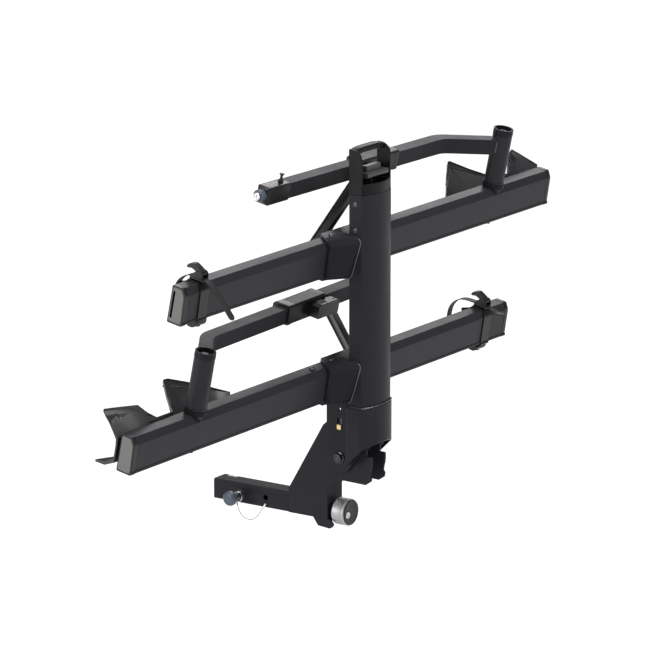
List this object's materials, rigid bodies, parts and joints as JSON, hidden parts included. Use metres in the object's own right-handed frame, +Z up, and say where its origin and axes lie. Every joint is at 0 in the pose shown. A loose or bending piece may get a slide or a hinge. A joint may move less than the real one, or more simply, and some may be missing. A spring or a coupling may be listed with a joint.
{
  "type": "hitch mounted bike rack",
  "caption": "Folding platform bike rack on a square hitch tongue, with wheel trays, swinging hook arms and ratchet wheel straps, folded upright.",
  "frame": {"origin": "centre of the hitch pin hole on the tongue's axis", "axes": "+X rearwards out of the receiver, +Y across the vehicle, +Z up, with the mast folded upright"},
  "size_m": [0.4767, 1.766, 0.9574],
  "materials": {
    "frame_coat": "satin",
    "black_plastic": "matte",
    "grey_plastic": "matte",
    "strap_plastic": "satin",
    "blue_grey": "satin",
    "bright_steel": "polished",
    "knurled_aluminium": "knurled",
    "wire": "satin",
    "dark_steel": "satin",
    "yellow_zinc": "satin",
    "lever_grey": "satin"
  },
  "bodies": {
    "bracket": {"hitch_tongue": "frame_coat", "hitch_plate_near": "frame_coat", "hitch_plate_far": "frame_coat", "bracket_rear_plate": "frame_coat", "bracket_foot": "frame_coat", "pivot_hardware": "dark_steel", "tension_rod": "dark_steel", "pin_tether": "wire", "tether_sleeves": "bright_steel"},
    "hitch_pin_set": {"hitch_pin": "bright_steel", "pin_head": "blue_grey", "tether_ring": "bright_steel"},
    "knob": {"knob_ring": "knurled_aluminium", "knob_cap": "black_plastic"},
    "knob_lock": {"knob_lock_core": "bright_steel"},
    "wedge": {"anti_rattle_wedge": "bright_steel"},
    "mast": {"mast_tube": "frame_coat", "mast_foot_plate": "frame_coat", "mast_collar": "frame_coat", "mast_plate_near": "frame_coat", "mast_plate_far": "frame_coat", "mast_cap": "black_plastic", "spring_seat": "black_plastic", "lock_spring": "bright_steel", "frame_bolts": "dark_steel", "arm_post_bases": "frame_coat", "arm_pivot_pins": "black_plastic", "tray_beam_lower": "frame_coat", "tray_end_caps_lower": "grey_plastic", "tray_socket_lower": "frame_coat", "wheel_cradle_lower": "black_plastic", "tray_beam_upper": "frame_coat", "tray_end_caps_upper": "grey_plastic", "tray_socket_upper": "frame_coat", "wheel_cradle_upper": "black_plastic"},
    "release": {"lock_bar": "yellow_zinc", "release_rod": "dark_steel", "pull_handle": "lever_grey"},
    "arm_lower": {"arm_hub_lower": "frame_coat", "arm_tube_lower": "frame_coat", "arm_tip_cap_lower": "black_plastic"},
    "tip_lock_body_lower": {"tip_lock_lower": "blue_grey"},
    "hook_lower": {"hook_slider_lower": "black_plastic", "tyre_hook_lower": "black_plastic"},
    "button_lower": {"slider_button_lower": "grey_plastic"},
    "strap_set_lower": {"strap_carriage_lower": "black_plastic", "strap_buckle_lower": "black_plastic", "wheel_strap_lower": "strap_plastic"},
    "buckle_lower": {"buckle_lever_lower": "black_plastic"},
    "arm_upper": {"arm_hub_upper": "frame_coat", "arm_tube_upper": "frame_coat", "arm_tip_cap_upper": "black_plastic"},
    "tip_lock_body_upper": {"tip_lock_upper": "blue_grey"},
    "hook_upper": {"hook_slider_upper": "black_plastic", "tyre_hook_upper": "black_plastic"},
    "button_upper": {"slider_button_upper": "grey_plastic"},
    "strap_set_upper": {"strap_carriage_upper": "black_plastic", "strap_buckle_upper": "black_plastic", "wheel_strap_upper": "strap_plastic"},
    "buckle_upper": {"buckle_lever_upper": "black_plastic"}
  },
  "joints": [
    {"name": "mast_tilt", "type": "hinge", "parent": "bracket", "child": "mast", "pos_m": [0.2935, 0, 0.1395], "axis": [0, 1, 0], "range_deg": [0, 100]},
    {"name": "release_pull", "type": "slide", "parent": "mast", "child": "release", "axis": [0, 0, 1], "range_m": [0, 0.016], "stiffness_N_per_m": 900, "springref_m": -0.012, "deforming": ["lock_spring"]},
    {"name": "hitch_pin_pull", "type": "slide", "parent": "bracket", "child": "hitch_pin_set", "axis": [0, -1, 0], "range_m": [0, 0.076]},
    {"name": "knob_turn", "type": "hinge", "parent": "bracket", "child": "knob", "pos_m": [0.28, 0, -0.006], "axis": [1, 0, 0], "range_deg": [0, 1080]},
    {"name": "wedge_press", "type": "slide", "parent": "bracket", "child": "wedge", "axis": [0, 0.7071, 0.7071], "range_m": [0, 0.004]},
    {"name": "knob_lock_turn", "type": "hinge", "parent": "knob", "child": "knob_lock", "pos_m": [0.291, -0.0155, -0.009], "axis": [1, 0, 0], "range_deg": [0, 90]},
    {"name": "arm_swing_lower", "type": "hinge", "parent": "mast", "child": "arm_lower", "pos_m": [0.30734, -0.631, 0.43399], "axis": [0.1994, 0, 0.9799], "range_deg": [0, 110]},
    {"name": "hook_slide_lower", "type": "slide", "parent": "arm_lower", "child": "hook_lower", "axis": [-0.0325, 0.9995, 0.0066], "range_m": [-0.24, 0.12]},
    {"name": "hook_button_lower", "type": "slide", "parent": "hook_lower", "child": "button_lower", "axis": [-0.1994, 0, -0.9799], "range_m": [0, 0.004], "stiffness_N_per_m": 500, "springref_m": -0.002},
    {"name": "tip_lock_turn_lower", "type": "hinge", "parent": "arm_lower", "child": "tip_lock_body_lower", "pos_m": [0.20009, 0.26652, 0.50786], "axis": [-0.0325, 0.9995, 0.0066], "range_deg": [0, 90]},
    {"name": "strap_slide_lower", "type": "slide", "parent": "mast", "child": "strap_set_lower", "axis": [0, -1, 0], "range_m": [-0.02, 0.4]},
    {"name": "buckle_open_lower", "type": "hinge", "parent": "strap_set_lower", "child": "buckle_lower", "pos_m": [0.30632, 0.588, 0.39889], "axis": [0, 1, 0], "range_deg": [0, 70]},
    {"name": "arm_swing_upper", "type": "hinge", "parent": "mast", "child": "arm_upper", "pos_m": [0.30734, 0.631, 0.73529], "axis": [-0.1994, 0, -0.9799], "range_deg": [0, 110]},
    {"name": "hook_slide_upper", "type": "slide", "parent": "arm_upper", "child": "hook_upper", "axis": [-0.0137, -0.9999, 0.0028], "range_m": [-0.14, 0.24]},
    {"name": "hook_button_upper", "type": "slide", "parent": "hook_upper", "child": "button_upper", "axis": [-0.1994, 0, -0.9799], "range_m": [0, 0.004], "stiffness_N_per_m": 500, "springref_m": -0.002},
    {"name": "tip_lock_turn_upper", "type": "hinge", "parent": "arm_upper", "child": "tip_lock_body_upper", "pos_m": [0.21699, -0.26866, 0.80572], "axis": [-0.0137, -0.9999, 0.0028], "range_deg": [0, 90]},
    {"name": "strap_slide_upper", "type": "slide", "parent": "mast", "child": "strap_set_upper", "axis": [0, 1, 0], "range_m": [-0.04, 0.41]},
    {"name": "buckle_open_upper", "type": "hinge", "parent": "strap_set_upper", "child": "buckle_upper", "pos_m": [0.30632, -0.612, 0.70019], "axis": [0, 1, 0], "range_deg": [0, 70]}
  ],
  "couplings": [
    {"joint": "wedge_press", "follows": "knob_turn", "m_per_rad": 0.00021221}
  ]
}
